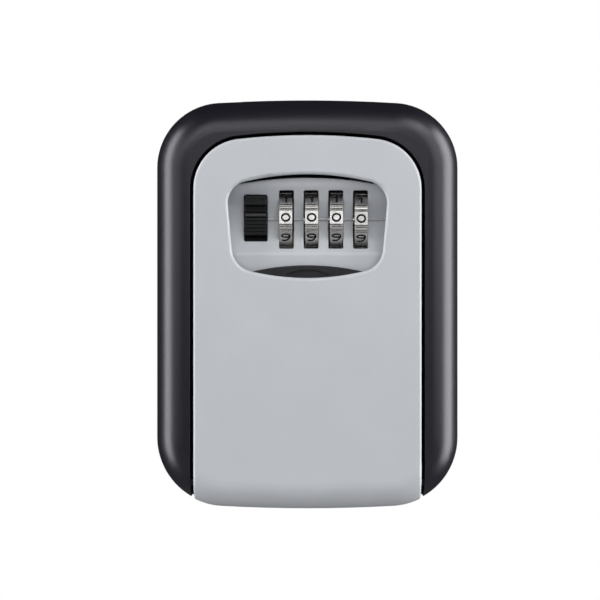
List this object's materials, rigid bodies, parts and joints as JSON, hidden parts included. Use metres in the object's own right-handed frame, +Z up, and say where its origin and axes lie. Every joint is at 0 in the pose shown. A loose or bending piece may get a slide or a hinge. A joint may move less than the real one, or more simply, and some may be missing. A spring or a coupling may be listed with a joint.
{
  "type": "key lock box",
  "caption": "Wall-mounted key safe with a rounded housing, a drop-down door, a dial of number wheels, an open button and a sliding weather shutter.",
  "frame": {"origin": "centre of the flat back face, on the wall", "axes": "+X to the right as one faces the box, +Y into the wall, +Z up"},
  "size_m": [0.09, 0.038, 0.122],
  "materials": {
    "black_paint": "black satin paint on a die-cast housing",
    "grey_paint": "light grey satin paint on die-cast metal",
    "steel": "ground steel shaft",
    "black_oxide": "steel blackened with oxide",
    "steel_sheet": "zinc-plated pressed steel",
    "zinc_plated": "bright zinc-plated screws and rivets",
    "spring_steel": "spring steel",
    "cast_cover": "bare die-cast cover",
    "black_plastic": "black moulded button",
    "black_shutter": "black moulded shutter",
    "brass": "turned brass",
    "wheel_metal": "satin nickel-plated wheels",
    "digit_paint": "black paint in the engraved digits"
  },
  "bodies": {
    "housing": {"housing": "black_paint", "hinge_pins": "black_oxide"},
    "door": {"door_shell": "grey_paint", "dial_plate": "grey_paint", "dial_plate_screws": "zinc_plated", "shutter_retainer": "steel_sheet", "retainer_screws": "zinc_plated", "lock_frame": "steel_sheet", "frame_screws": "zinc_plated", "wheel_shaft": "steel", "shaft_clips": "spring_steel", "detent_spring": "spring_steel", "detent_screws": "zinc_plated", "lever_spring": "spring_steel", "lock_cover": "cast_cover", "cover_screws": "zinc_plated"},
    "lever": {"open_button": "black_plastic", "latch_plate": "black_oxide", "button_rivets": "zinc_plated"},
    "shutter": {"shutter": "black_shutter"},
    "reset": {"reset_slider": "brass"},
    "wheel_1": {"number_wheel_1": "wheel_metal", "digits_1": "digit_paint"},
    "sleeve_1": {"code_sleeve_1": "black_oxide"},
    "wheel_2": {"number_wheel_2": "wheel_metal", "digits_2": "digit_paint"},
    "sleeve_2": {"code_sleeve_2": "black_oxide"},
    "wheel_3": {"number_wheel_3": "wheel_metal", "digits_3": "digit_paint"},
    "sleeve_3": {"code_sleeve_3": "black_oxide"},
    "wheel_4": {"number_wheel_4": "wheel_metal", "digits_4": "digit_paint"},
    "sleeve_4": {"code_sleeve_4": "black_oxide"}
  },
  "joints": [
    {"name": "door_hinge", "type": "hinge", "parent": "housing", "child": "door", "pos_m": [0, -0.03, -0.053], "axis": [1, 0, 0], "range_deg": [0, 95]},
    {"name": "lever_slide", "type": "slide", "parent": "door", "child": "lever", "axis": [0, 0, -1], "range_m": [0, 0.0018], "stiffness_N_per_m": 300, "springref_m": -0.002, "deforming": ["lever_spring"]},
    {"name": "shutter_slide", "type": "slide", "parent": "door", "child": "shutter", "axis": [0, 0, 1], "range_m": [0, 0.028]},
    {"name": "reset_slide", "type": "slide", "parent": "door", "child": "reset", "axis": [1, 0, 0], "range_m": [0, 0.0012]},
    {"name": "wheel_spin_1", "type": "hinge", "parent": "door", "child": "wheel_1", "pos_m": [-0.00644, -0.0242, 0.02515], "axis": [1, 0, 0], "continuous": true},
    {"name": "wheel_spin_2", "type": "hinge", "parent": "door", "child": "wheel_2", "pos_m": [0.00126, -0.0242, 0.02515], "axis": [1, 0, 0], "continuous": true},
    {"name": "wheel_spin_3", "type": "hinge", "parent": "door", "child": "wheel_3", "pos_m": [0.00864, -0.0242, 0.02515], "axis": [1, 0, 0], "continuous": true},
    {"name": "wheel_spin_4", "type": "hinge", "parent": "door", "child": "wheel_4", "pos_m": [0.01601, -0.0242, 0.02515], "axis": [1, 0, 0], "continuous": true},
    {"name": "sleeve_slide_1", "type": "slide", "parent": "wheel_1", "child": "sleeve_1", "axis": [1, 0, 0], "range_m": [0, 0.0012]},
    {"name": "sleeve_slide_2", "type": "slide", "parent": "wheel_2", "child": "sleeve_2", "axis": [1, 0, 0], "range_m": [0, 0.0012]},
    {"name": "sleeve_slide_3", "type": "slide", "parent": "wheel_3", "child": "sleeve_3", "axis": [1, 0, 0], "range_m": [0, 0.0012]},
    {"name": "sleeve_slide_4", "type": "slide", "parent": "wheel_4", "child": "sleeve_4", "axis": [1, 0, 0], "range_m": [0, 0.0012]}
  ],
  "couplings": [
    {"joint": "sleeve_slide_1", "follows": "reset_slide", "ratio": 1},
    {"joint": "sleeve_slide_2", "follows": "reset_slide", "ratio": 1},
    {"joint": "sleeve_slide_3", "follows": "reset_slide", "ratio": 1},
    {"joint": "sleeve_slide_4", "follows": "reset_slide", "ratio": 1}
  ]
}
